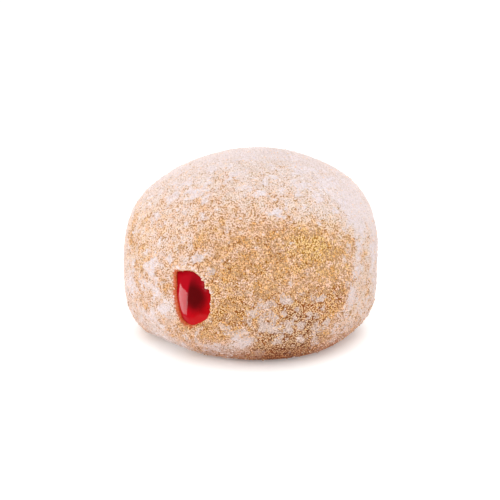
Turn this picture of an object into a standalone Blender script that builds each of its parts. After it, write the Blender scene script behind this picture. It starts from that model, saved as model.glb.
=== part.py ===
"""A jelly filled doughnut: a puffed dough body with a filling hole in its side, and the jelly inside it.

Metres, +Z up. The doughnut rests on Z = 0 with its box centred on the Z axis. The filling hole faces -Y.
A direction on the dough is given as an azimuth, 0 at the filling hole and 90 at +X, and an elevation
above the belly line, where the body is widest.
"""

import math

import bmesh
import bpy
from mathutils import Matrix, Vector

MM = 0.001

# ---- dough body: two half superellipses of revolution that meet at the belly line -------------------
BELLY_RADIUS = 42.0 * MM
DOME_HEIGHT = 37.2 * MM  # from the belly line to the top
DOME_POWERS = (2.0, 2.6)  # how boxy the dome is, outwards and upwards; 2 is an ellipse
KEEL_DEPTH = 32.3 * MM  # from the belly line down to where the round underside would end
KEEL_POWERS = (2.8, 2.7)
BELLY_HEIGHT = 26.6 * MM  # the belly line over the table, on which the underside lies flat
BASE_ROUNDING = 2.6 * MM  # heights over which the underside turns into its flat
SEGMENTS_AROUND = 80
SEGMENTS_UP = 44

# Where the dough has swelled or sunk: azimuth, elevation and reach in degrees, and height.
SWELLS = (
    (-66, 13, 18, 1.8 * MM),
    (-58, -16, 17, 2.1 * MM),
    (-110, 70, 18, -0.8 * MM),
    (-22, -50, 15, -0.7 * MM),
    (92, -57, 20, 1.2 * MM),
    (104, -38, 22, -1.4 * MM),
    (112, -17, 12, 0.8 * MM),
    (129, 35, 16, 0.6 * MM),
    (146, 60, 12, -0.4 * MM),
    (172, 74, 12, 0.4 * MM),
    (30, 18, 24, 0.6 * MM),
    (168, 6, 24, -1.1 * MM),
    (-150, 28, 20, 1.0 * MM),
    (-128, -22, 18, 0.9 * MM),
)

# The fold on the +X side, where the front of the dough steps back towards the rear.
FOLD_AZIMUTH = 74.0
FOLD_ELEVATION = -8.0
FOLD_HALF_HEIGHT = 17.0  # degrees
FOLD_STEP = 1.1 * MM
FOLD_SHARPNESS = 3.0  # degrees over which the dough steps back
FOLD_FADE = 22.0  # degrees over which it comes out again

# ---- filling: a flattened pocket in the middle, and an oval neck from it to the hole ---------------
MOUTH_HEIGHT = 23.1 * MM
MOUTH_HALF_WIDTH = 5.8 * MM
MOUTH_HALF_HEIGHT = 9.0 * MM
MOUTH_LEAN = 10.0  # degrees that the oval's top leans towards -X
POCKET_CENTRE = Vector((0, 3.0 * MM, 27.5 * MM))
POCKET_HALF_LENGTH = 19.0 * MM
POCKET_HALF_WIDTH = 18.0 * MM
POCKET_HALF_HEIGHT = 12.0 * MM
NECK_WAIST = 0.72  # the neck's narrowest size as a share of the mouth's
NECK_BLEND = 4  # power that melts the pocket and the neck together
JELLY_RECESS = 1.3 * MM  # from the skin in to the rim of the jelly's domed front
JELLY_DOME = 1.6 * MM
LIP_ROUNDING = 0.9 * MM  # radius of the dough's lip round the hole
CLEARANCE = 0.3 * MM  # between the jelly and the dough round it
CUTTER_OVERSHOOT = 3.0 * MM  # how far the hole's cutter runs out past the skin
RING_POINTS = 36
POCKET_RINGS = 16
NECK_RINGS = 7
FRONT_RINGS = 5


def principled(name, colour, roughness):
    """A plain non-metallic material."""
    material = bpy.data.materials.new(name)
    material.use_nodes = True
    shader = material.node_tree.nodes["Principled BSDF"]
    shader.inputs["Base Color"].default_value = (*colour, 1.0)
    shader.inputs["Roughness"].default_value = roughness
    shader.inputs["Metallic"].default_value = 0.0
    material.diffuse_color = (*colour, 1.0)
    return material


def direction_of(azimuth, elevation):
    """The unit vector of an azimuth and an elevation in degrees."""
    turn, lift = math.radians(azimuth), math.radians(elevation)
    return Vector((math.sin(turn) * math.cos(lift), -math.cos(turn) * math.cos(lift), math.sin(lift)))


def plain_body(direction):
    """The superelliptic body's point along a unit direction, measured from the belly line's centre."""
    spread = math.hypot(direction.x, direction.y)
    above = direction.z >= 0
    out_power, up_power = DOME_POWERS if above else KEEL_POWERS
    reach = BELLY_RADIUS * spread ** (2 / out_power)
    rise = (DOME_HEIGHT if above else -KEEL_DEPTH) * abs(direction.z) ** (2 / up_power)
    if spread < 1e-9:
        return Vector((0, 0, rise))
    return Vector((direction.x / spread * reach, direction.y / spread * reach, rise))


def swell(direction):
    """How far the dough stands proud of the plain body."""
    height = 0.0
    for azimuth, elevation, reach, top in SWELLS:
        apart = direction.angle(direction_of(azimuth, elevation), 0.0)
        height += top * math.exp(-0.5 * (apart / math.radians(reach)) ** 2)
    return height


def fold(direction):
    """How far the dough has stepped back behind the fold."""
    azimuth = math.degrees(math.atan2(direction.x, -direction.y))
    elevation = math.degrees(math.asin(max(-1.0, min(1.0, direction.z))))
    behind = azimuth - FOLD_AZIMUTH
    step = 1 / (1 + math.exp(-2 * behind / FOLD_SHARPNESS))
    fade = math.exp(-0.5 * (max(behind, 0.0) / FOLD_FADE) ** 2)
    level = math.exp(-0.5 * ((elevation - FOLD_ELEVATION) / FOLD_HALF_HEIGHT) ** 2)
    return FOLD_STEP * step * fade * level


def settled(height):
    """A height over the table after the dough's own weight has pressed it flat there."""
    if height >= BASE_ROUNDING:
        return height
    return max(height + BASE_ROUNDING, 0.0) ** 2 / (4 * BASE_ROUNDING)


def skin_point(direction):
    """The dough's skin along a unit direction, with the table at Z = 0."""
    point = plain_body(direction) + direction * (swell(direction) - fold(direction))
    return Vector((point.x, point.y, settled(point.z + BELLY_HEIGHT)))


def finished(name, shape, material):
    """The bmesh as a smooth-shaded object with one material."""
    bmesh.ops.recalc_face_normals(shape, faces=shape.faces)
    mesh = bpy.data.meshes.new(name)
    shape.to_mesh(mesh)
    shape.free()
    mesh.materials.append(material)
    mesh.shade_smooth()
    mesh.set_sharp_from_angle(angle=math.radians(50))
    made = bpy.data.objects.new(name, mesh)
    bpy.context.scene.collection.objects.link(made)
    return made


def dough_body(material):
    """The whole dough, flat where it rests on the table."""
    shape = bmesh.new()
    bmesh.ops.create_uvsphere(shape, u_segments=SEGMENTS_AROUND, v_segments=SEGMENTS_UP, radius=1.0)
    for vert in shape.verts:
        vert.co = skin_point(vert.co.normalized())
    resting = [face for face in shape.faces if all(vert.co.z <= 0 for vert in face.verts)]
    bmesh.ops.dissolve_faces(shape, faces=resting, use_verts=True)
    return finished("dough", shape, material)


def mouth_point():
    """Where the middle of the hole meets the skin."""
    lift = math.degrees(math.asin((MOUTH_HEIGHT - BELLY_HEIGHT) / BELLY_RADIUS))
    return Vector((0, skin_point(direction_of(0, lift)).y, MOUTH_HEIGHT))


def filling_frame():
    """Turns the filling's own axes into the part's: Z out of the hole, and Y up but leaning with it."""
    outwards = mouth_point() - POCKET_CENTRE
    turn = outwards.to_track_quat("Z", "Y").to_matrix().to_4x4()
    lean = Matrix.Rotation(math.radians(MOUTH_LEAN), 4, "Z")
    return Matrix.Translation(POCKET_CENTRE) @ turn @ lean


def melted(pocket_size, neck_size):
    """The size of the pocket and the neck where they run into one another."""
    return (pocket_size**NECK_BLEND + neck_size**NECK_BLEND) ** (1 / NECK_BLEND)


def filling_section(station, mouth_station):
    """The filling's half-width and half-height at a distance along its axis from the pocket's centre."""
    along = min(1.0, abs(station) / POCKET_HALF_LENGTH)
    pocket = math.sqrt(1 - along**2)
    neck = 0.0
    if station > 0:
        neck = NECK_WAIST + (1 - NECK_WAIST) * (station / mouth_station) ** 3
    half_width = melted(POCKET_HALF_WIDTH * pocket, MOUTH_HALF_WIDTH * neck)
    half_height = melted(POCKET_HALF_HEIGHT * pocket, MOUTH_HALF_HEIGHT * neck)
    return half_width, half_height


def inner_rings(rim_station, mouth_station):
    """Rings from the pocket's back to the neck's end, each a station, a half-width and a half-height."""
    rings = []
    for step in range(1, POCKET_RINGS + 1):
        station = -POCKET_HALF_LENGTH * math.cos(math.pi * step / (POCKET_RINGS + 1))
        rings.append((station, *filling_section(station, mouth_station)))
    start = rings[-1][0]
    for step in range(1, NECK_RINGS + 1):
        station = start + (rim_station - start) * step / NECK_RINGS
        rings.append((station, *filling_section(station, mouth_station)))
    return rings


def next_ring(shape, edges):
    """Extrudes an open ring of edges in place, and gives the new ring's points and edges."""
    made = bmesh.ops.extrude_edge_only(shape, edges=edges)["geom"]
    points = [part for part in made if isinstance(part, bmesh.types.BMVert)]
    ring = [part for part in made if isinstance(part, bmesh.types.BMEdge)]
    return points, [edge for edge in ring if all(vert in points for vert in edge.verts)]


def lofted(rings, back, front):
    """A closed shape through oval rings, drawn to a point at its back and its front station."""
    shape = bmesh.new()
    points = bmesh.ops.create_circle(shape, segments=RING_POINTS, radius=1.0)["verts"]
    back_ring = shape.edges[:]
    front_ring = back_ring
    at, width, height = 0.0, 1.0, 1.0
    for index, (station, half_width, half_height) in enumerate(rings):
        if index:
            points, front_ring = next_ring(shape, front_ring)
        bmesh.ops.scale(shape, vec=(half_width / width, half_height / height, 1), verts=points)
        bmesh.ops.translate(shape, vec=(0, 0, station - at), verts=points)
        at, width, height = station, half_width, half_height
    for ring, station in ((back_ring, back), (front_ring, front)):
        points, _ = next_ring(shape, ring)
        bmesh.ops.pointmerge(shape, verts=points, merge_co=(0, 0, station))
    bmesh.ops.transform(shape, matrix=filling_frame(), verts=shape.verts)
    return shape


def jelly_filling(material):
    """The jelly: the pocket, the neck and a domed front just inside the hole."""
    mouth_station = (mouth_point() - POCKET_CENTRE).length
    rim = mouth_station - JELLY_RECESS
    rings = inner_rings(rim, mouth_station)
    rim_width, rim_height = rings[-1][1:]
    for step in range(1, FRONT_RINGS + 1):
        turn = math.pi / 2 * step / (FRONT_RINGS + 1)
        shrunk = math.cos(turn)
        rings.append((rim + JELLY_DOME * math.sin(turn), rim_width * shrunk, rim_height * shrunk))
    shape = lofted(rings, back=-POCKET_HALF_LENGTH, front=rim + JELLY_DOME)
    return finished("jelly", shape, material)


def filling_cutter(material):
    """The room that the jelly takes in the dough, open at the hole with a rounded lip."""
    mouth_station = (mouth_point() - POCKET_CENTRE).length
    rings = inner_rings(mouth_station - LIP_ROUNDING, mouth_station)
    station, rim_width, rim_height = rings[-1]
    for step in range(1, FRONT_RINGS + 1):
        turn = math.pi / 2 * step / FRONT_RINGS
        flare = LIP_ROUNDING * (1 - math.cos(turn))
        rings.append((station + LIP_ROUNDING * math.sin(turn), rim_width + flare, rim_height + flare))
    outside = mouth_station + CUTTER_OVERSHOOT
    rings.append((outside, *rings[-1][1:]))
    grown = [(at, half_width + CLEARANCE, half_height + CLEARANCE) for at, half_width, half_height in rings]
    shape = lofted(grown, back=-POCKET_HALF_LENGTH - CLEARANCE, front=outside + CLEARANCE)
    cutter = finished("filling_cutter", shape, material)
    cutter.hide_render = True
    cutter.display_type = "WIRE"
    return cutter


def cut_out(body, cutter):
    """Takes the cutter's shape out of the body."""
    cut = body.modifiers.new("filling_hole", "BOOLEAN")
    cut.operation = "DIFFERENCE"
    cut.solver = "EXACT"
    cut.object = cutter


def centred(pieces, cutter):
    """Moves everything so that the box round the pieces stands centred on the Z axis."""
    points = [vert.co for piece in pieces for vert in piece.data.vertices]
    middle = [(min(p[axis] for p in points) + max(p[axis] for p in points)) / 2 for axis in (0, 1)]
    for moved in (*pieces, cutter):
        moved.data.transform(Matrix.Translation((-middle[0], -middle[1], 0)))


def main():
    for old in list(bpy.data.objects):
        bpy.data.objects.remove(old)
    dough_look = principled("fried_dough", (0.72, 0.45, 0.22), 0.85)
    jelly_look = principled("red_jelly", (0.55, 0.01, 0.02), 0.12)
    dough = dough_body(dough_look)
    jelly = jelly_filling(jelly_look)
    cutter = filling_cutter(dough_look)
    centred((dough, jelly), cutter)
    cut_out(dough, cutter)


main()
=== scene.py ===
"""Looks of the jelly filled doughnut: the sugared skin, the glossy filling and the loose sugar."""

import math

import bmesh
import bpy
import numpy as np
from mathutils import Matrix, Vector, noise


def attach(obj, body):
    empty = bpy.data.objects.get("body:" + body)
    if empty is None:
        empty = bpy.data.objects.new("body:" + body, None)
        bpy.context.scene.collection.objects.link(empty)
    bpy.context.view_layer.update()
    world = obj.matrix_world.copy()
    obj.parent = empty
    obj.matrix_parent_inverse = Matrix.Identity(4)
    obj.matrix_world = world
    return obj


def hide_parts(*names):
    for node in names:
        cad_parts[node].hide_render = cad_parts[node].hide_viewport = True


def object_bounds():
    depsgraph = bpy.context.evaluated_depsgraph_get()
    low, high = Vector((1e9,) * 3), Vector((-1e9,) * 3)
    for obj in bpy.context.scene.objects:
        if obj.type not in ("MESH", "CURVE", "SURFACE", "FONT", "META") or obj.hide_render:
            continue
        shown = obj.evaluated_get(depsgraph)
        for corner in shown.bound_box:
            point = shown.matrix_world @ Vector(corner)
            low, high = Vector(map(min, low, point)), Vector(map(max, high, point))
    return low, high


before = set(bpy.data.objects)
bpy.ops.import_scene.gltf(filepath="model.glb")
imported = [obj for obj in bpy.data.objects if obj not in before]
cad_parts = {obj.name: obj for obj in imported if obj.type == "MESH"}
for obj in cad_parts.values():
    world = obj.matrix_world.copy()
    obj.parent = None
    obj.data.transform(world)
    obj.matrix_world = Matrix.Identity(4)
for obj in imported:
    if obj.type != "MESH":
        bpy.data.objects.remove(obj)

MM = 0.001
FOOD_LOW, FOOD_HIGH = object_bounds()
FOOD_HEIGHT = FOOD_HIGH.z - FOOD_LOW.z
HEART = np.array((0.0, 0.0, 0.42 * FOOD_HEIGHT))  # bearings on the skin are taken from here

# Camera
CAMERA_AZIMUTH = 28.5
CAMERA_ELEVATION = 15.0
CAMERA_DISTANCE = 401.1 * MM
CAMERA_LENS = 85.0
LOOK_HEIGHT = 29.1 * MM
LOOK_ASIDE = -0.27 * MM

# Skin mesh. On the skin, azimuth 0 faces the filling hole and 90 is a quarter turn towards +X.
WELD = 0.01 * MM
SKIN_VOXEL = 0.61 * MM
SKIN_SMOOTHING = 10
SKIN_INSET = 0.3 * MM  # room for the loose sugar on top of it
RESTING_BAND = (0.3 * MM, 3.0 * MM)  # heights over which the relief comes in above the table
# Swells and hollows of the body: azimuth, elevation and reach in degrees, then height in millimetres.
SWELLS = (
    (-61, -33, 14, 2.9), (118, -31, 14, 2.0), (-61, 50, 18, -0.8), (-61, 8, 20, -0.4),
    (20, -50, 16, -1.0),
)
FOLD_EDGE = (69.5, 72.0)  # azimuths over which the fold's edge rises
FOLD_FADE = 92.0  # azimuth where the fold has faded away
FOLD_LOW = (-24, -14)  # elevations over which it begins and ends
FOLD_HIGH = (2, 12)
FOLD_HEIGHT = 1.0
# Layers of noise: feature size in millimetres, strength and seed.
UNEVENNESS = ((13.0, 0.30, 1), (4.5, 0.13, 2), (1.5, 0.07, 3))
RAGGED_EDGES = ((2.6, 0.8, 5), (1.1, 0.7, 6))
CLOUDS = ((7.0, 0.14, 7), (2.4, 0.30, 8), (1.2, 0.26, 10))
FLAKES = ((3.6, 0.62, 17), (1.5, 0.42, 18))
NOTCHES = ((1.5, 0.10, 12), (0.8, 0.10, 13))
# Heights in millimetres: crumbs all over, then what caked powder, its crumbs and its wrinkles add.
CRUMBS = 0.03
CAKE = 0.26
CAKE_CRUMBS = 0.2
CAKE_WRINKLES = 0.3

# Jelly mesh
JELLY_VOXEL = 0.45 * MM
JELLY_SMOOTHING = 12
JELLY_FRONT = (14 * MM, 5 * MM)  # depths over which the front's shape comes in
JELLY_TUCK = 0.16  # how far the filling's front reaches under the lip
JELLY_SINK = -0.7 * MM
JELLY_SAG = 0.3 * MM
JELLY_FLAT = -1.1 * MM
JELLY_CLIMB = 1.1 * MM  # how far it climbs at the far wall

# The lip of the hole: bearing clockwise from its top in degrees, how far out the edge lies (1 is the
# plain oval), how wide the stained band beyond it is and how torn the edge is.
LIP = (
    (-180, 1.02, -0.02, 0.0), (-165, 1.12, 0.02, 0.0), (-150, 1.20, 0.08, 0.0), (-128, 1.24, 0.2, 0.0),
    (-104, 1.04, 0.34, 0.2), (-85, 0.99, 0.37, 0.3), (-60, 0.96, 0.37, 0.4), (-35, 1.25, 0.20, 0.5),
    (-15, 1.07, -0.02, 1.0), (10, 1.07, -0.1, 1.0), (50, 1.15, -0.1, 1.0), (62, 1.20, -0.1, 0.8),
    (66, 1.03, -0.1, 0.5), (70, 1.04, -0.1, 0.5), (75, 1.25, -0.06, 0.6), (84, 1.26, -0.03, 0.5),
    (92, 1.21, 0.0, 0.4), (112, 1.13, 0.0, 0.4), (132, 1.08, 0.0, 0.2), (144, 1.05, -0.02, 0.1),
    (157, 1.00, -0.02, 0.0), (168, 1.00, -0.02, 0.0), (180, 1.02, -0.02, 0.0),
)
PLAIN_EDGE = 1.08  # where the edge shows before the lip is shaped
# Sugar film: azimuth, elevation and reach in degrees, then whiteness from 0 (bare) to 1 (white).
FILM = (
    (0, 90, 16, 1.1), (-30, 62, 14, 0.86), (30, 62, 11, 0.76), (10, 56, 4, 0.48), (60, 62, 5, 0.75),
    (90, 60, 14, 0.95), (-20, 47, 8, 0.72), (20, 47, 8, 0.72), (50, 46, 8, 0.74), (82, 45, 9, 0.84),
    (-45, 36, 9, 0.72), (-15, 35, 8, 0.58), (10, 35, 8, 0.52), (35, 36, 7, 0.52), (60, 37, 8, 0.66),
    (85, 32, 8, 1.0), (105, 30, 10, 1.0), (120, 22, 10, 0.92), (74, 27, 5, 0.52), (-52, 16, 8, 0.6),
    (-44, 14, 4, 0.36), (-36, 13, 4, 0.5), (-28, 20, 8, 0.52), (-8, 23, 7, 0.54), (10, 24, 6, 0.28),
    (-12, 10, 5, 0.52), (22, 28, 5, 0.36), (42, 28, 5, 0.5), (28, 17, 6, 0.06), (45, 18, 6, -0.3),
    (60, 16, 6, -0.4), (74, 16, 5, 0.34), (8, 12, 5, 0.44), (20, 5, 6, -0.16), (35, 3, 7, 0.2),
    (50, 5, 7, 0.32), (63, 2, 6, 0.06), (22, -8, 6, -0.15), (38, -10, 6, -0.2), (54, -10, 6, -0.7),
    (67, -6, 3, -0.5), (-50, -2, 9, 0.75), (-35, -5, 8, 0.42), (-20, 0, 6, 0.58), (-15, -15, 7, 0.7),
    (-35, -22, 9, 0.64), (-2, -20, 4, -0.05), (12, -19, 5, -0.2), (80, -8, 6, 0.47), (90, -15, 7, 0.58),
    (80, -25, 8, 0.55), (91, 4, 5, 0.56), (95, -7, 4, 0.6), (100, 8, 6, 0.72), (110, 0, 9, 0.82),
    (0, -31, 7, 0.42), (20, -32, 7, 0.86), (45, -28, 7, -0.85), (60, -30, 6, -0.2), (75, -33, 8, 0.58),
    (-25, -36, 9, 1.0), (8, -39, 6, 0.56), (28, -41, 6, 0.25), (45, -40, 7, -1.4), (62, -39, 6, 0.45),
    (85, -42, 8, 0.2), (0, -90, 25, 0.1), (5, -50, 8, -0.1), (28, -52, 9, -0.1), (50, -50, 8, -0.1),
    (-12, -25, 5, 0.3), (150, 20, 16, 0.55), (178, -8, 14, 0.2), (-155, 12, 15, 0.3),
    (-112, 15, 14, 0.7), (-88, -12, 13, 0.75), (-130, -25, 13, 0.42), (138, -20, 13, 0.5),
    (-170, 45, 16, 0.8), (-100, 50, 15, 0.9), (140, 50, 14, 0.85),
)
# Caked powder and rubbed spots: azimuth, elevation, half width, half height, lean and strength.
CAKED = (
    (-22, 4, 2.4, 6.5, 12, 0.95), (-30, -3, 3.0, 4.0, 0, 0.95), (-18, -6, 3.0, 4.5, 20, 0.85),
    (-15, -13, 3.0, 3.0, 0, 0.85), (-27, -19, 4.0, 3.0, 0, 0.7), (-42, -6, 4.0, 6.0, 0, 0.8),
    (5, 14, 3.0, 2.4, -20, 0.9), (12, 8, 2.2, 1.7, 0, 1.0), (-10, 11, 2.6, 2.2, 0, 0.8),
    (-3, 12, 2.2, 1.5, 0, 0.6), (-8, 44, 5.0, 1.6, -14, 0.95), (-20, 47, 4.0, 1.4, -16, 0.95),
    (-12, 39, 4.5, 1.0, -10, 0.75), (35, 43, 3.8, 2.2, 0, 0.9), (43, 33, 3.8, 1.7, 35, 0.9),
    (37, 33, 1.8, 1.4, 0, 0.7), (-5, 24, 2.4, 1.6, 0, 0.5), (17, 27, 2.2, 1.6, 0, 0.5),
    (26, 0, 4.6, 1.5, 0, 0.5), (36, -16, 5.2, 2.6, 0, 0.8), (17, -17, 3.6, 3.0, 0, 0.75),
    (27, -13, 2.4, 2.0, 30, 0.7), (34, -6, 3.2, 2.0, 0, 0.8), (43, -3, 2.4, 2.4, 0, 0.85),
    (45, -18, 2.8, 1.8, 0, 0.85), (51, -2, 1.8, 2.0, 0, 0.6), (26, -22, 3.6, 2.2, 0, 0.85),
    (52, -24, 2.6, 1.8, 0, 0.7), (42, -9, 2.0, 1.6, 0, 0.7), (60, -4, 2.6, 2.0, -20, 0.9),
    (30, -9, 2.6, 1.8, 0, 0.8), (64, -18, 2.4, 3.0, 0, 0.8), (60, -20, 3.4, 1.8, 0, 0.65),
    (74, -20, 2.4, 1.8, 0, 0.6), (58, -12, 1.8, 1.6, 0, 0.6), (38, -11, 2.8, 2.0, 0, 0.75),
    (45, 4, 2.0, 1.4, 0, 0.4), (51, 8, 2.4, 1.6, 0, 0.5), (37, 8, 2.0, 1.4, 0, 0.35),
    (78, -7, 3.0, 8.0, 4, 0.85), (84, 2, 4.0, 4.0, 30, 0.75), (100, 9, 3.5, 8.0, 0, 0.85),
    (86, 33, 7.0, 5.0, 30, 0.8), (6, -29, 5.0, 2.6, 0, 0.7), (22, -26, 4.0, 1.8, 0, 0.6),
    (62, -26, 4.0, 2.0, 0, 0.36), (-8, -28, 4.0, 2.0, 0, 0.36),
)
RUBBED = (
    (31, 21, 4.0, 2.6, 0, 0.9), (33, 28, 3.6, 1.8, 0, 0.7), (51, 20, 4.0, 2.4, 0, 0.9),
    (61, 18, 4.2, 3.0, 0, 1.0), (57, 13, 3.6, 2.6, 0, 0.9), (19, 11, 2.6, 3.0, 0, 0.9),
    (33, 10, 3.6, 2.4, 0, 0.8), (16, -8, 2.6, 3.6, 0, 0.9), (25, -7, 3.4, 2.6, 0, 0.9),
    (31, -12, 2.4, 1.6, 0, 0.9), (58, 8, 2.4, 2.0, 0, 0.8), (67, -6, 1.8, 6.0, 0, 1.0),
    (43, -13, 2.6, 1.5, 0, 1.0), (50, -13, 4.0, 1.6, 0, 0.9), (47, -6, 2.0, 1.6, 0, 0.8),
    (41, -6, 2.4, 1.4, 0, 0.9), (47, -30, 9.0, 3.0, 0, 0.7), (5, -19, 3.2, 1.8, 0, 0.8),
    (-3, 17, 2.2, 1.6, 0, 0.7), (4, 20, 3.4, 2.0, 0, 0.6), (-13, -1, 2.4, 3.6, 0, 1.0),
    (-30, 1, 2.0, 2.4, 0, 0.7), (-28, -14, 2.4, 2.0, 0, 0.8), (90, 8, 3.4, 2.8, 0, 0.8),
    (95, -7, 3.0, 4.0, 0, 0.7), (97, 16, 3.0, 4.0, 0, 0.7), (-44, 14, 2.4, 4.0, 0, 1.0),
    (-46, 22, 3.0, 4.0, 0, 0.6), (10, 56, 3.4, 1.4, 0, 0.5), (62, 62, 4.0, 1.6, 0, 0.5),
)
# Tone of the fried dough: azimuth, elevation, reach, then -1 for pale yellow to 1 for orange brown.
# The brown low down towards the table is partly the dough's own tone and partly painted shade.
BROWNING = (
    (60, 19, 7, -1.5), (97, 16, 6, -0.9), (-36, 13, 6, -1.0), (-46, 14, 5, -1.3), (45, 4, 7, -0.3),
    (93, -10, 6, -0.5), (20, 10, 8, 0.5), (33, 18, 7, 0.7), (46, -14, 9, 2.1), (66, -8, 5, 0.8),
    (31, -12, 5, 1.1), (46, -30, 8, 2.4), (35, -42, 9, 1.6), (40, -50, 12, 2.6), (43, -13, 4, 1.4),
    (69, -8, 4, 1.5), (54, 0, 4, 0.9), (5, -38, 8, 0.9), (4, -23, 7, 0.9), (-10, -2, 5, 0.6),
    (24, -6, 6, 0.7), (-28, -14, 5, 0.4), (0, -90, 30, 0.8), (180, 0, 20, 0.2), (-130, -10, 18, -0.3),
    (140, -15, 15, 0.4), (10, 40, 20, 0.0),
)
# Crusts of powder in flakes: azimuth, elevation, reach, then how much of the skin they take.
CRUST = (
    (46, -14, 8, 0.75), (34, -6, 4, 0.8), (31, -17, 5, 0.95), (18, -17, 4, 0.7), (62, -18, 7, 0.8),
    (8, -32, 7, 0.8), (28, -30, 7, 0.5), (46, -30, 7, -0.1), (62, -32, 7, 0.4), (-25, -2, 9, 0.6),
    (-25, -24, 10, 0.3), (78, 0, 7, 0.8), (92, 0, 9, 0.3), (85, 35, 14, 0.9), (60, 30, 8, 0.0),
    (38, 42, 6, 0.7), (-14, 43, 9, 0.8), (-48, 10, 12, 0.1), (35, 14, 16, -0.4), (60, 14, 10, -0.4),
    (20, 62, 14, 0.3), (50, 4, 7, 0.4), (8, 12, 6, 0.5), (22, -8, 5, -0.5), (12, -19, 4, -0.3),
    (67, -6, 3, -0.8), (-15, 24, 12, 0.1), (10, 26, 8, 0.0), (10, 36, 8, 0.2), (-90, 0, 20, 0.5),
    (170, 0, 30, 0.5), (-140, 40, 30, 0.6),
)
SPREAD = 1.3  # how far beyond its reach a spot still blends with its neighbours
SEEN_AZIMUTH = (-62.0, 118.0)  # the listed powder; the rest is strewn
STREWN_CAKED = 46
STREWN_RUBBED = 34
STREWN_STRENGTH = (0.5, 1.0)

# Colours, linear. Dough, from the palest tone to the brownest, and where the jelly has soaked in:
DOUGH_TONES = ((0.66, 0.37, 0.07), (0.62, 0.28, 0.05), (0.47, 0.155, 0.028), (0.30, 0.085, 0.014))
SOAKED = (0.54, 0.085, 0.01)
# Sugar film on the dough
SUGAR_WHITE = (0.81, 0.70, 0.67)
SUGAR_WARM = (0.86, 0.56, 0.34)
SUGAR_CAKED = (0.745, 0.665, 0.70)
CAKED_ON_GOLD = (0.61, 0.47, 0.44)
SUGAR_DAMP = (0.81, 0.55, 0.46)
SYRUP = (0.58, 0.26, 0.025)
GAP_SHADE = (0.47, 0.32, 0.12)  # painted shade in the gaps between grains: how what lies in them is darkened
# Painted glints on the grains' tops, over gold dough and over white sugar
PAINTED_GLINT = (1.0, 0.80, 0.50)
PAINTED_GLINT_WHITE = (0.93, 0.80, 0.75)
BASE_SHADE = (0.69, 0.43, 0.28)  # painted shade on the sugar near the table
# Loose sugar
CRYSTAL_AMBER = (0.56, 0.33, 0.17)
GRAIN_WARM = (0.94, 0.60, 0.30)
GRAIN_PALE = (0.94, 0.66, 0.45)
GRAIN_DAMP = (0.97, 0.74, 0.63)
GRAIN_SYRUP = (0.88, 0.46, 0.11)
GRAIN_PEACH = (0.90, 0.60, 0.42)
GRAIN_WHITE = (0.84, 0.72, 0.68)
CLUMP_PEACH = (0.76, 0.61, 0.55)
CLUMP_WHITE = (0.80, 0.70, 0.70)
# Jelly: its red, the painted shade where it lies thick and the painted light that comes through its edges
JELLY_DEEP_SHADE = (0.10, 0.0, 0.001)
JELLY_RED = (0.44, 0.001, 0.009)
JELLY_LIT_THROUGH = (0.54, 0.001, 0.004)
JELLY_THIN_GLOW = (0.72, 0.10, 0.03)

# Loose sugar: count, size, how much sizes differ, the share below the skin, flatness and seed.
SUGAR_KINDS = {
    "sugar_crystals": (5000, 0.36 * MM, 0.2, 0.4, 1.0, 21),
    "sugar_grains_warm": (11000, 0.38 * MM, 0.22, 0.35, 1.0, 22),
    "sugar_grains_white": (24000, 0.38 * MM, 0.22, 0.27, 1.0, 23),
    "sugar_dust": (45000, 0.24 * MM, 0.25, 0.3, 1.0, 24),
    "sugar_clumps": (5200, 0.58 * MM, 0.3, 0.55, 0.6, 25),
}
SUGAR_LOWEST = 0.7 * MM  # no sugar is strewn nearer the table
SUGAR_FULL = (2.0 * MM, 10.0 * MM)  # heights over which it comes to its full amount

# Stage. Softboxes: azimuth, elevation, distance, width, height, radiance and colour.
WHITE = (1.0, 1.0, 1.0)
SOFTBOXES = {
    "overhead": (180, 84, 1.1, 1.5, 1.2, 1.54, (0.92, 0.98, 1.02)),
    "left": (-66, 7, 0.9, 0.6, 0.2, 9.0, WHITE),
    "right": (118, 30, 1.0, 0.6, 0.7, 1.35, WHITE),
    "front": (25, 50, 1.0, 0.9, 0.6, 3.0, WHITE),
}
SKY = (0.98, 0.99, 1.0)
SKY_STRENGTH = 0.34
TABLE_SIZE = 6.0
TABLE_WHITE = (0.82, 0.82, 0.82)
TABLE_EMISSION = 0.75
# The table's painted glow, standing in for light from all round and kept low near the doughnut as a
# painted shadow: the distances over which each share of it comes in.
GLOW_RINGS = ((0.026, 0.031, 0.2), (0.035, 0.05, 0.22), (0.25, 0.9, 0.47))
# The least glow, right under the doughnut in the painted shadow
GLOW_LEAST = 0.13
LAMP_LINE = (0.88, 0.48, 0.0)  # the side lamps stand along this line
LAMP_REACH = 0.32  # how much sooner the glow comes in along it


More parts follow.
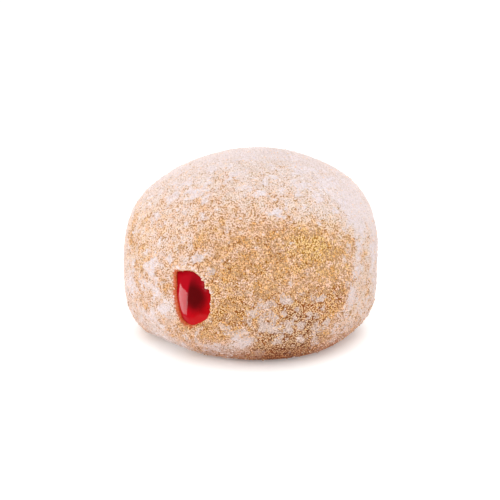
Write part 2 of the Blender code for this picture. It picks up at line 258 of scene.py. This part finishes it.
# ---------------------------------------------------------------- shader sums
class Field:
    """A socket in a material; sums written on fields add the Math nodes they need."""

    def __init__(self, tree, socket=None):
        self.tree = tree
        self.socket = socket

    def node(self, kind, settings=None, inputs=None, output=0):
        """Adds a shader node: first its settings, then the values or links of its sockets."""
        made = self.tree.nodes.new("ShaderNode" + kind)
        for name, value in (settings or {}).items():
            setattr(made, name, value)
        for name, value in (inputs or {}).items():
            if isinstance(value, Field):
                self.tree.links.new(value.socket, made.inputs[name])
            else:
                made.inputs[name].default_value = value
        return Field(self.tree, made.outputs[output])

    def math(self, operation, *terms, clamp=False):
        settings = {"operation": operation, "use_clamp": clamp}
        return self.node("Math", settings, dict(enumerate(terms)))

    def __add__(self, other):
        return self.math("ADD", self, other)

    __radd__ = __add__

    def __sub__(self, other):
        return self.math("SUBTRACT", self, other)

    def __rsub__(self, other):
        return self.math("SUBTRACT", other, self)

    def __mul__(self, other):
        return self.math("MULTIPLY", self, other)

    def clamped(self):
        return self.math("ADD", self, 0.0, clamp=True)

    def rise(self, low, high):
        """0 below low, 1 above high, smooth between."""
        inputs = {"Value": self, "From Min": low, "From Max": high}
        return self.node("MapRange", {"interpolation_type": "SMOOTHSTEP"}, inputs)

    def place(self):
        return self.node("TexCoord", output="Object")

    def axis(self, number):
        """The place along X, Y or Z, which are 0, 1 and 2."""
        return self.node("SeparateXYZ", None, {0: self.place()}, output=number)

    def attribute(self, name):
        return self.node("Attribute", {"attribute_name": name}, output="Fac")

    def speckle(self, size, detail=2.0, roughness=0.5):
        """Noise of the given feature size, about 0.5 on average."""
        inputs = {"Vector": self.place(), "Scale": 1 / size, "Detail": detail, "Roughness": roughness}
        return self.node("TexNoise", None, inputs)

    def voronoi(self, size, output):
        inputs = {"Vector": self.place(), "Scale": 1 / size}
        return self.node("TexVoronoi", None, inputs, output=output)

    def cells(self, size):
        """An even random number for each cell of the given size."""
        return self.node("SeparateColor", None, {0: self.voronoi(size, "Color")})

    def domes(self, size):
        """Rounded grains of the given size side by side: 1 in their middles, 0 in the gaps."""
        return 1 - self.voronoi(size, "Distance").rise(0.25, 0.78)

    def mix(self, first, second, share, blend="MIX"):
        """Colour between first and second by the share; the node's colour sockets are 6, 7 and 2."""
        settings = {"data_type": "RGBA", "blend_type": blend}
        return self.node("Mix", settings, {0: share, 6: first, 7: second}, output=2)


def rgba(colour):
    return (*colour, 1.0)


def finish_of(name, **values):
    """A material with its shader's own sockets set; returns it with a field to build on."""
    material = bpy.data.materials.new(name)
    material.use_nodes = True
    shader = material.node_tree.nodes["Principled BSDF"]
    for socket, value in values.items():
        shader.inputs[socket.replace("_", " ")].default_value = value
    return material, Field(material.node_tree), shader


def feed(field, shader, socket):
    field.tree.links.new(field.socket, shader.inputs[socket])


# ---------------------------------------------------------------- finishes
def dough_finish():
    """Fried dough under a film of sugar: single grains, caked powder and the red stain by the hole, with
    painted glints and painted shade on the grains and painted shade near the table.
    """
    material, field, shader = finish_of("sugared_dough", Roughness=0.75, Specular_IOR_Level=0.3)
    powder = field.attribute("powder")
    browning = field.attribute("browning")
    soak = field.attribute("soak")
    skin = filmed(field, fried(field, browning, soak), powder, soak)
    skin = blotched(field, skin, powder, browning, soak)

    edge = field.attribute("caked") + (field.speckle(0.6 * MM, 3.0, 0.7) - 0.5)
    crusted = edge.rise(0.15, 0.85)
    cake = field.mix(rgba(CAKED_ON_GOLD), rgba(SUGAR_CAKED), powder.rise(0.2, 0.7))
    skin = field.mix(skin, cake, crusted)

    # Painted light on the grains: painted shade in the gaps and painted glints on the tops, weaker under
    # thick powder, on the stain and on caked powder
    domes = field.domes(0.44 * MM)
    painted_speckle = (1.44 - powder * 0.66) * (1 - soak * 0.8) * (1 - crusted * 0.7)
    skin = field.mix(skin, rgba(GAP_SHADE), (1 - domes * 2.0).clamped() * painted_speckle, "MULTIPLY")
    painted_glint = field.mix(rgba(PAINTED_GLINT), rgba(PAINTED_GLINT_WHITE), powder.rise(0.1, 0.6))
    skin = field.mix(skin, painted_glint, (domes * 2.0 - 1).clamped() * painted_speckle * 0.42)
    # Painted shade near the table
    feed(field.mix(skin, rgba(BASE_SHADE), painted_base_shade(field), "MULTIPLY"), shader, "Base Color")

    height = field.speckle(0.42 * MM, 3.0, 0.6) * 0.6 + domes * 0.6
    bump = field.node("Bump", None, {"Strength": 0.55, "Distance": 0.12 * MM, "Height": height})
    feed(bump, shader, "Normal")
    return material


def fried(field, browning, soak):
    """The bare dough, mottled, and red where the jelly has soaked into it."""
    tone = browning + (field.speckle(2.3 * MM, 3.0, 0.6) - 0.5) * 2.6
    dough = rgba(DOUGH_TONES[0])
    for step, colour in enumerate(DOUGH_TONES[1:]):
        dough = field.mix(dough, rgba(colour), tone.rise(0.5 * step, 0.5 * step + 0.5))
    return field.mix(dough, rgba(SOAKED), soak)


def filmed(field, dough, powder, soak):
    """The dough under its film of sugar, which is partly even and partly broken up into grains."""
    pick = field.cells(0.36 * MM) * 0.8 + field.cells(0.75 * MM) * 0.2
    cover = (powder * 0.88 + 0.08).clamped() * (1 - soak)
    grain = (cover - pick).rise(-0.14, 0.14)
    sugar = field.mix(rgba(SUGAR_WARM), rgba(SUGAR_WHITE), powder.rise(0.1, 0.8))
    return field.mix(dough, sugar, cover * 0.82 + grain * 0.18)


def blotches(field):
    """Shares of damp sugar and of syrup, in blotches that carry on over the skin and the loose grains."""
    damp = field.speckle(3.2 * MM, 3.0, 0.65).rise(0.47, 0.57)
    syrup = field.speckle(2.3 * MM, 3.0, 0.6).rise(0.51, 0.60)
    return damp, syrup


def blotched(field, skin, powder, browning, soak):
    """The skin with damp sugar and syrup where the film is thin and the dough isn't dark."""
    damp, syrup = blotches(field)
    bare = (1 - powder * 1.5).clamped() * (1 - soak) * (1 - browning.rise(0.9, 1.4))
    dusted = ((powder + 0.35) * 2.0).clamped()
    skin = field.mix(skin, rgba(SUGAR_DAMP), damp * bare * dusted * 0.95)
    return field.mix(skin, rgba(SYRUP), syrup * bare * 0.95)


def painted_base_shade(field):
    """How much painted shade the sugar near the table gets, most on the side towards +X."""
    low = 1 - field.axis(2).rise(1.5 * MM, 10.5 * MM)
    return low * (field.axis(0).rise(-15 * MM, 20 * MM) * 0.8 + 0.2)


def jelly_finish(hole):
    """Clear red jelly with painted light: painted shade, nearly black red, where it lies thick, and
    painted light, bright red, where light comes through its edges.
    """
    material, field, shader = finish_of("red_jelly", Roughness=0.05, Specular_IOR_Level=0.13)
    x = field.axis(0) - hole.centre[0]
    z = field.axis(2) - hole.centre[2]
    across = (x * hole.cos - z * hole.sin) * (1 / hole.half_width)
    along = (x * hole.sin + z * hole.cos) * (1 / hole.half_height)
    side = across - along * 0.55

    core_across = across - 0.22
    core_along = (along - 0.08) * 1.25
    core = field.math("SQRT", core_across * core_across + core_along * core_along)
    wobble = (field.speckle(4.0 * MM) - 0.5) * 0.4
    # Painted shade: the nearly black middle of the filling
    deep_shade = (1 - (core + wobble).rise(0.3, 1.05)) * side.rise(-0.36, -0.12)
    # Painted light coming through the filling's lower right
    low = (across * 0.5 - along).rise(-0.1, 1.0)
    # Painted light coming through the filling's thin left edge, which also brightens the shade by the lip
    thin = (0 - across).rise(0.8, 1.05)
    colour = field.mix(rgba(JELLY_RED), rgba(JELLY_LIT_THROUGH), low)
    colour = field.mix(colour, rgba(JELLY_DEEP_SHADE), deep_shade)
    feed(field.mix(colour, rgba(JELLY_THIN_GLOW), thin), shader, "Base Color")

    # The sheen bends as on a front that swells in its middle and leans back at its top.
    swell = field.speckle(3.0 * MM) * 0.08 - along * 11.9 + along * along * 2.6 - side * side * 2.2
    swell = swell - along.rise(0.25, 1.3) * 5.0
    bump = field.node("Bump", None, {"Strength": 1.0, "Distance": 0.3 * MM, "Height": swell})
    feed(bump, shader, "Normal")
    return material


def crystal_finish():
    """Amber crystals of one even colour: their variety comes from the many facets."""
    looks = {"Base_Color": rgba(CRYSTAL_AMBER), "Roughness": 0.25, "Specular_IOR_Level": 0.5}
    return finish_of("sugar_crystal", **looks)[0]


def warm_finish():
    """Grains that lie on bare dough, tinted by what they lie on."""
    material, field, shader = finish_of("sugar_on_gold", Roughness=0.35, Specular_IOR_Level=0.5)
    powder = field.attribute("powder")
    damp, syrup = blotches(field)
    bare = (1 - powder * 1.5).clamped()
    colour = field.mix(rgba(GRAIN_WARM), rgba(GRAIN_PALE), powder.rise(0.1, 0.6))
    colour = field.mix(colour, rgba(GRAIN_DAMP), damp * bare)
    feed(field.mix(colour, rgba(GRAIN_SYRUP), syrup * bare), shader, "Base Color")
    return material


def film_finish(name, bare, white, roughness):
    """Loose sugar that takes the tint of the dough where the film under it is thin."""
    material, field, shader = finish_of(name, Roughness=roughness, Specular_IOR_Level=0.5)
    powder = field.attribute("powder")
    feed(field.mix(rgba(bare), rgba(white), powder.rise(0.1, 0.85)), shader, "Base Color")
    return material


# ---------------------------------------------------------------- bearings and powder
def directions(azimuth, elevation):
    """Unit vectors for azimuths and elevations in degrees."""
    azimuth, elevation = np.radians(azimuth), np.radians(elevation)
    level = np.cos(elevation)
    return np.stack((np.sin(azimuth) * level, -np.cos(azimuth) * level, np.sin(elevation)), axis=-1)


def bearings(points):
    """Directions of points on the skin from the heart of the doughnut."""
    rays = points - HEART
    return rays / np.linalg.norm(rays, axis=1, keepdims=True)


def angles(rays, azimuth, elevation):
    """Degrees between each ray and one bearing."""
    return np.degrees(np.arccos(np.clip(rays @ directions(azimuth, elevation), -1, 1)))


def rise(values, low, high):
    """0 below low, 1 above high, smooth between."""
    share = np.clip((values - low) / (high - low), 0, 1)
    return share * share * (3 - 2 * share)


def ripple(points, size, seed):
    """Smooth noise of the given feature size at each point, from about -1 to 1."""
    shift = Vector((seed * 7.3, seed * 3.1, seed * 5.7))
    return np.array([noise.noise(Vector(point) + shift) for point in points / size])


def ripples(points, layers, start=0.0):
    """Layers of noise added to the start, each with its size, strength and seed."""
    total = start
    for size, strength, seed in layers:
        total = total + strength * ripple(points, size * MM, seed)
    return total


def blended(rays, spots):
    """The spots' values, blended over the directions by how near each spot is."""
    total = np.zeros(len(rays))
    weight = np.full(len(rays), 1e-9)
    for azimuth, elevation, reach, value in spots:
        near = np.exp(-(angles(rays, azimuth, elevation) / (SPREAD * reach)) ** 2)
        total += near * value
        weight += near
    return total / weight


def patched(rays, patches, ragged):
    """The strongest patch at each direction; ragged moves the patches' edges in and out."""
    strongest = np.zeros(len(rays))
    for azimuth, elevation, half_width, half_height, lean, strength in patches:
        middle = directions(azimuth, elevation)
        east = np.array((math.cos(math.radians(azimuth)), math.sin(math.radians(azimuth)), 0.0))
        north = np.cross(middle, east)
        across, along = np.degrees(rays @ east), np.degrees(rays @ north)
        turn = math.radians(lean)
        u = (across * math.cos(turn) - along * math.sin(turn)) / half_width
        v = (across * math.sin(turn) + along * math.cos(turn)) / half_height
        reach = np.hypot(u, v) + ragged
        facing = rays @ middle > 0
        strongest = np.maximum(strongest, strength * rise(-reach, -1.3, -0.6) * facing)
    return strongest


def strewn_patches(count, rng):
    """Patches at random over the sides that have none listed."""
    made = []
    while len(made) < count:
        azimuth = rng.uniform(SEEN_AZIMUTH[1], SEEN_AZIMUTH[0] + 360)
        elevation = math.degrees(math.asin(rng.uniform(-0.75, 0.95)))
        size = rng.uniform(1.8, 4.6)
        shape = rng.uniform(0.5, 1.1)
        lean = rng.uniform(-40, 40)
        strength = rng.uniform(*STREWN_STRENGTH)
        made.append((azimuth, elevation, size, size * shape, lean, strength))
    return made


# ---------------------------------------------------------------- pieces from the frame
def linked(name, mesh):
    piece = bpy.data.objects.new(name, mesh)
    bpy.context.scene.collection.objects.link(piece)
    return piece


def welded(node, name):
    """A copy of a CAD node with its loose triangles joined into one skin."""
    mesh = node.data.copy()
    mesh.materials.clear()
    shape = bmesh.new()
    shape.from_mesh(mesh)
    bmesh.ops.remove_doubles(shape, verts=shape.verts, dist=WELD)
    shape.to_mesh(mesh)
    shape.free()
    return linked(name, mesh)


def evened(node, name, voxel, smoothing):
    """A copy of a CAD node as an even, softened mesh, with nothing left of the modifiers that make it."""
    piece = welded(node, name)
    even = piece.modifiers.new("even", "REMESH")
    even.mode = "VOXEL"
    even.voxel_size = voxel
    calm = piece.modifiers.new("calm", "SMOOTH")
    calm.factor = 0.5
    calm.iterations = smoothing
    shown = piece.evaluated_get(bpy.context.evaluated_depsgraph_get())
    mesh = bpy.data.meshes.new_from_object(shown)
    piece.modifiers.clear()
    piece.data = mesh
    return piece


def vertices(mesh):
    flat = np.empty(len(mesh.vertices) * 3)
    mesh.vertices.foreach_get("co", flat)
    return flat.reshape(-1, 3)


def normals(mesh):
    flat = np.empty(len(mesh.vertices) * 3)
    mesh.vertex_normals.foreach_get("vector", flat)
    return flat.reshape(-1, 3)


def move_to(mesh, points):
    mesh.vertices.foreach_set("co", points.ravel())
    mesh.update()


def keep_attribute(mesh, name, values):
    mesh.attributes.new(name, "FLOAT", "POINT").data.foreach_set("value", values.astype(np.float32))


class Hole:
    """The oval filling hole, read from the front of the jelly: its middle, half sizes and lean."""

    FRONT_DEPTH = 4.0 * MM
    CLEARANCE = 0.3 * MM
    BEHIND = 9.0  # reach of what lies on the far side of the doughnut

    def __init__(self, jelly):
        points = vertices(jelly.data)
        front = points[points[:, 1] < points[:, 1].min() + self.FRONT_DEPTH]
        self.centre = front.mean(axis=0)
        flat = (front - self.centre)[:, [0, 2]]
        _, axes = np.linalg.eigh(flat.T @ flat)
        tall = axes[:, 1] * np.sign(axes[1, 1])
        self.sin, self.cos = tall
        along = flat @ tall
        across = flat @ np.array((self.cos, -self.sin))
        self.half_width = np.abs(across).max() + self.CLEARANCE
        self.half_height = np.abs(along).max() + self.CLEARANCE

    def oval(self, points):
        """Across and along each point lies in the hole, 1 at its rim."""
        x, z = points[:, 0] - self.centre[0], points[:, 2] - self.centre[2]
        across = (x * self.cos - z * self.sin) / self.half_width
        along = (x * self.sin + z * self.cos) / self.half_height
        return across, along

    def reach(self, points):
        """How far out each point lies, 1 at the rim."""
        across, along = self.oval(points)
        return np.where(points[:, 1] < 0, np.hypot(across, along), self.BEHIND)

    def lip(self, points):
        """The edge's reach, the stained band's width and the tornness towards each point."""
        across, along = self.oval(points)
        bearing = np.degrees(np.arctan2(across, along))
        table = np.array(LIP).T
        return [np.interp(bearing, table[0], column) for column in table[1:]]


# ---------------------------------------------------------------- skin
def sugar_cover(points, rays):
    """The film of powder, the caked powder and the dough's browning at each point of the skin."""
    rng = np.random.default_rng(11)
    ragged = ripples(points, RAGGED_EDGES)
    caked = patched(rays, (*CAKED, *strewn_patches(STREWN_CAKED, rng)), ragged)
    rubbed = patched(rays, (*RUBBED, *strewn_patches(STREWN_RUBBED, rng)), ragged)
    film = blended(rays, FILM)
    clouds = ripples(points, CLOUDS) * (1.15 - 0.7 * np.clip(film, 0, 1))
    powder = np.clip(film + clouds - 0.35 * rubbed, -0.4, 1.0)
    caked = np.maximum(caked, 0.62 * rise(powder, 0.78, 1.0))
    flakes = ripples(points, FLAKES) + 0.35 * blended(rays, CRUST)
    caked = np.maximum(caked, 0.72 * rise(flakes, 0.22, 0.42))
    browning = 0.5 + 0.42 * blended(rays, BROWNING) + 0.15 * ripple(points, 5 * MM, 9)
    return powder, caked, np.clip(browning, 0, 1.5)


def skin_relief(points, rays, caked):
    """Height of the swells and fine forms above the plain body at each point of the skin."""
    swells = np.zeros(len(points))
    for azimuth, elevation, reach, height in SWELLS:
        swells += height * np.exp(-(angles(rays, azimuth, elevation) / reach) ** 2)
    crumbs = ripple(points, 0.8 * MM, 4)
    wrinkles = ripple(points * (1.0, 1.0, 0.3), 1.5 * MM, 15)
    height = ripples(points, UNEVENNESS, swells) + CRUMBS * crumbs + fold(points, rays)
    height += caked * (CAKE + CAKE_CRUMBS * crumbs + CAKE_WRINKLES * wrinkles)
    return height * MM


def fold(points, rays):
    """Height of the fold in the skin to the right of the hole: a short upright edge that fades away."""
    azimuth = np.degrees(np.arctan2(rays[:, 0], -rays[:, 1])) + 2.0 * ripple(points, 2.0 * MM, 16)
    elevation = np.degrees(np.arcsin(rays[:, 2]))
    ridge = rise(azimuth, *FOLD_EDGE) * (1 - rise(azimuth, FOLD_EDGE[1], FOLD_FADE))
    return FOLD_HEIGHT * ridge * rise(elevation, *FOLD_LOW) * (1 - rise(elevation, *FOLD_HIGH))


def shaped_lip(points, hole):
    """Draws the skin round the hole in or out to the edge that the lip has there, torn where it is dry."""
    reach = hole.reach(points)
    edge, _, torn = hole.lip(points)
    wanted = edge + torn * ripples(points, NOTCHES) - PLAIN_EDGE
    near = rise(reach, 0.55, 0.85) * (1 - rise(reach, 1.15, 1.6))
    near = near * rise(-points[:, 1], 30 * MM, 36 * MM)
    outward = points - hole.centre
    outward[:, 1] = 0
    return points + outward * (wanted * near / np.maximum(reach, 0.5))[:, None]


def dough_skin(node, hole):
    """The dough's skin as an even fine mesh with its relief and its powder."""
    piece = evened(node, "dough_skin", SKIN_VOXEL, SKIN_SMOOTHING)
    mesh = piece.data
    points = vertices(mesh)
    rays = bearings(points)
    powder, caked, browning = sugar_cover(points, rays)

    outside = rise(hole.reach(points), 0.9, 1.25)
    lift = (skin_relief(points, rays, caked) - SKIN_INSET) * outside
    lift *= rise(points[:, 2], *RESTING_BAND)
    shaped = shaped_lip(points + normals(mesh) * lift[:, None], hole)
    move_to(mesh, shaped)
    edge, stain, _ = hole.lip(shaped)
    beyond = hole.reach(shaped) - edge + 0.10 * ripple(points, 0.9 * MM, 14)

    keep_attribute(mesh, "powder", powder)
    keep_attribute(mesh, "caked", caked * outside)
    keep_attribute(mesh, "browning", browning)
    keep_attribute(mesh, "soak", 1 - rise(beyond, 0.4 * stain - 0.1, stain))
    mesh.shade_smooth()
    mesh.materials.append(dough_finish())
    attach(piece, "root")
    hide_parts("dough")
    return piece


# ---------------------------------------------------------------- jelly
def jelly_fill(node, hole):
    """The filling, swollen to meet the hole's wall, its front sagging a little towards the table."""
    piece = evened(node, "jelly_fill", JELLY_VOXEL, JELLY_SMOOTHING)
    mesh = piece.data
    points = vertices(mesh)
    foremost = -points[:, 1].min()
    front = rise(-points[:, 1], foremost - JELLY_FRONT[0], foremost - JELLY_FRONT[1])
    across, along = hole.oval(points)
    grown = points.copy()
    edge, _, _ = hole.lip(points)
    spread = (points - hole.centre) * (front * (edge + JELLY_TUCK - 1))[:, None]
    grown[:, [0, 2]] += spread[:, [0, 2]]
    sag = JELLY_SINK - JELLY_SAG * along + JELLY_FLAT * along**2
    sag += JELLY_CLIMB * rise(np.hypot(across, along), 0.92, 1.14) * rise(-across, 0.0, 0.5)
    grown[:, 1] -= front * sag
    move_to(mesh, grown)
    mesh.shade_smooth()
    mesh.materials.append(jelly_finish(hole))
    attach(piece, "root")
    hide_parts("jelly")


# ---------------------------------------------------------------- loose sugar
def unit_shape(make, **sizes):
    """Corners and faces of a small shape that a bmesh operator makes."""
    shape = bmesh.new()
    make(shape, **sizes)
    points = np.array([vertex.co[:] for vertex in shape.verts])
    faces = np.array([[vertex.index for vertex in face.verts] for face in shape.faces])
    shape.free()
    return points, faces


def random_turns(rng, count):
    """Random rotation matrices, from random unit quaternions."""
    w, x, y, z = rng.normal(size=(count, 4)).T
    length = np.sqrt(w * w + x * x + y * y + z * z)
    w, x, y, z = w / length, x / length, y / length, z / length
    rows = (
        (1 - 2 * (y * y + z * z), 2 * (x * y - z * w), 2 * (x * z + y * w)),
        (2 * (x * y + z * w), 1 - 2 * (x * x + z * z), 2 * (y * z - x * w)),
        (2 * (x * z - y * w), 2 * (y * z + x * w), 1 - 2 * (x * x + y * y)),
    )
    return np.moveaxis(np.array(rows), -1, 0)


class Strewer:
    """Strews small shapes over the outside of the skin."""

    def __init__(self, skin, hole):
        mesh = skin.data
        count = len(mesh.polygons)
        middle, normal, self.area = np.empty(count * 3), np.empty(count * 3), np.empty(count)
        mesh.polygons.foreach_get("center", middle)
        mesh.polygons.foreach_get("normal", normal)
        mesh.polygons.foreach_get("area", self.area)
        self.middle, self.normal = middle.reshape(-1, 3), normal.reshape(-1, 3)
        first = np.empty(count, dtype=int)
        mesh.polygons.foreach_get("loop_start", first)
        owner = np.empty(len(mesh.loops), dtype=int)
        mesh.loops.foreach_get("vertex_index", owner)
        self.corner = owner[first]
        self.powder = self.at_faces(mesh, "powder")
        self.caked = self.at_faces(mesh, "caked")
        self.browning = self.at_faces(mesh, "browning")
        outward = np.einsum("ij,ij->i", self.normal, bearings(self.middle)) > 0.25
        edge, stain, torn = hole.lip(self.middle)
        beyond = hole.reach(self.middle) - edge
        self.rim = torn * rise(beyond, -0.05, 0.02) * rise(-beyond, -0.14, -0.06) * outward
        self.open = outward & (beyond > 0.35 * stain - 0.03) & (self.middle[:, 2] > SUGAR_LOWEST)

    def at_faces(self, mesh, name):
        """An attribute of the skin at each face, read at the face's first corner."""
        values = np.empty(len(mesh.vertices), dtype=np.float32)
        mesh.attributes[name].data.foreach_get("value", values)
        return values[self.corner].astype(float)

    def strew(self, name, unit, chance, material):
        """Adds one kind of sugar as one piece; chance is how likely each place is."""
        count, typical, variety, sunk, flatness, seed = SUGAR_KINDS[name]
        rng = np.random.default_rng(seed)
        points, faces = unit
        chance = chance * self.area * self.open * (0.2 + 0.8 * rise(self.middle[:, 2], *SUGAR_FULL))
        chosen = rng.choice(len(chance), size=count, p=chance / chance.sum())
        normal = self.normal[chosen]
        aside = np.cross(normal, rng.normal(size=(count, 3)))
        aside /= np.linalg.norm(aside, axis=1, keepdims=True)
        size = np.exp(rng.normal(math.log(typical), variety, count))
        aside *= rng.uniform(0, 0.5 * SKIN_VOXEL, count)[:, None]
        places = self.middle[chosen] + aside + normal * (size * (0.5 - sunk))[:, None]
        stretch = rng.uniform(0.75, 1.2, size=(count, 3)) * size[:, None]
        jitter = 1 + rng.uniform(-0.16, 0.16, size=(count, len(points), 1))
        local = points[None] * jitter * stretch[:, None, :]
        turned = np.einsum("gij,gvj->gvi", random_turns(rng, count), local)
        if flatness < 1.0:
            along = np.einsum("gvi,gi->gv", turned, normal)
            turned -= normal[:, None, :] * (along * (1 - flatness))[..., None]
        corners = (turned + places[:, None, :]).reshape(-1, 3)
        corners[:, 2] = np.maximum(corners[:, 2], 0.05 * MM)
        index = faces[None] + np.arange(count)[:, None, None] * len(points)
        mesh = bpy.data.meshes.new(name)
        mesh.from_pydata(corners, [], index.reshape(-1, faces.shape[1]))
        mesh.materials.append(material)
        tint = np.maximum(self.powder, 0.8 * self.rim)[chosen]
        keep_attribute(mesh, "powder", np.repeat(tint, len(points)))
        piece = linked(name, mesh)
        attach(piece, "root")


def loose_sugar(skin, hole):
    """Crystals, grains, dust and clumps of sugar on the skin, one piece for each kind."""
    strewer = Strewer(skin, hole)
    powder, caked, rim = strewer.powder, strewer.caked, strewer.rim
    cube = unit_shape(bmesh.ops.create_cube, size=1.0)
    eight = unit_shape(bmesh.ops.create_uvsphere, u_segments=4, v_segments=2, radius=0.55)
    cone = {"segments": 3, "radius1": 0.6, "radius2": 0.0, "depth": 0.8, "cap_ends": True}
    chip = unit_shape(bmesh.ops.create_cone, **cone)
    lump = unit_shape(bmesh.ops.create_icosphere, subdivisions=1, radius=0.5)
    white = film_finish("sugar_on_white", GRAIN_PEACH, GRAIN_WHITE, 0.5)
    dusty = film_finish("sugar_dust", GRAIN_PEACH, GRAIN_WHITE, 0.7)
    cake = film_finish("sugar_cake", CLUMP_PEACH, CLUMP_WHITE, 0.8)

    sparse = np.clip(0.45 + powder, 0.02, 1) * (1 - 0.7 * rise(strewer.browning, 0.7, 1.5))
    amber_chance = np.clip(0.6 - powder, 0.0, 1) ** 1.5 * sparse * (1 - 0.9 * caked)
    warm_chance = (np.clip(0.5 - powder, 0.02, 1) * (1 - 0.8 * caked) + 0.8 * rim) * sparse
    white_chance = np.clip(powder, 0.02, 1) ** 1.5 + 2.2 * rim
    dust_chance = np.clip(0.15 + powder, 0.02, 1.2)
    clump_chance = caked**2.5 * np.clip(0.2 + powder, 0.12, 1) + 0.01 + 2.4 * rim
    strewer.strew("sugar_crystals", cube, amber_chance, crystal_finish())
    strewer.strew("sugar_grains_warm", eight, warm_chance, warm_finish())
    strewer.strew("sugar_grains_white", eight, white_chance, white)
    strewer.strew("sugar_dust", chip, dust_chance, dusty)
    strewer.strew("sugar_clumps", lump, clump_chance, cake)


# ---------------------------------------------------------------- stage
def stage_floor():
    """A wide white table with a painted glow standing in for light from all round, lower near the doughnut
    as a painted shadow, least across the line of the side lamps.
    """
    shape = bmesh.new()
    bmesh.ops.create_grid(shape, x_segments=1, y_segments=1, size=TABLE_SIZE)
    mesh = bpy.data.meshes.new("table")
    shape.to_mesh(mesh)
    shape.free()
    looks = {"Base_Color": rgba(TABLE_WHITE), "Roughness": 0.9, "Emission_Strength": TABLE_EMISSION}
    material, field, shader = finish_of("white_table", **looks)
    place = field.place()
    lamps = {0: place, 1: LAMP_LINE}
    to_lamp = field.node("VectorMath", {"operation": "DOT_PRODUCT"}, lamps, output="Value")
    level = field.node("VectorMath", {"operation": "LENGTH"}, {0: place}, output="Value")
    away = field.math("SQRT", level * level + to_lamp * to_lamp * LAMP_REACH)
    # Painted shadow: the glow is held low near the doughnut
    glow = sum(away.rise(low, high) * share for low, high, share in GLOW_RINGS) + GLOW_LEAST
    feed(field.mix(rgba((0.0, 0.0, 0.0)), rgba(WHITE), glow), shader, "Emission Color")
    mesh.materials.append(material)
    linked("table", mesh)


def softbox(name, azimuth, elevation, distance, width, height, radiance, colour):
    """An area light that faces the doughnut from a bearing, as bright as the given radiance."""
    light = bpy.data.lights.new(name, "AREA")
    light.shape = "RECTANGLE"
    light.size = width
    light.size_y = height
    light.energy = radiance * math.pi * width * height
    light.color = colour
    lamp = linked(name, light)
    away = Vector(directions(azimuth, elevation))
    lamp.location = Vector(HEART) + away * distance
    lamp.rotation_euler = away.to_track_quat("Z", "Y").to_euler()


def studio():
    """Soft light from above and slightly behind, from the front and from both sides."""
    for name, settings in SOFTBOXES.items():
        softbox(name, *settings)
    world = bpy.data.worlds.new("studio")
    world.use_nodes = True
    world.node_tree.nodes["Background"].inputs["Color"].default_value = rgba(SKY)
    world.node_tree.nodes["Background"].inputs["Strength"].default_value = SKY_STRENGTH
    bpy.context.scene.world = world
    bpy.context.scene.view_settings.view_transform = "Standard"


def camera():
    """The camera, which looks at the hole from its right and a little above."""
    azimuth = math.radians(CAMERA_AZIMUTH)
    aside = Vector((math.cos(azimuth), math.sin(azimuth), 0.0))
    away = Vector(directions(CAMERA_AZIMUTH, CAMERA_ELEVATION))
    lens = bpy.data.cameras.new("camera")
    lens.lens = CAMERA_LENS
    lens.clip_start = 0.01
    lens.clip_end = 50.0
    view = linked("camera", lens)
    view.location = Vector((0.0, 0.0, LOOK_HEIGHT)) + aside * LOOK_ASIDE + away * CAMERA_DISTANCE
    view.rotation_euler = away.to_track_quat("Z", "Y").to_euler()
    bpy.context.scene.camera = view


camera()
stage_floor()
studio()
hole = Hole(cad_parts["jelly"])
skin = dough_skin(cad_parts["dough"], hole)
jelly_fill(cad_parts["jelly"], hole)
loose_sugar(skin, hole)
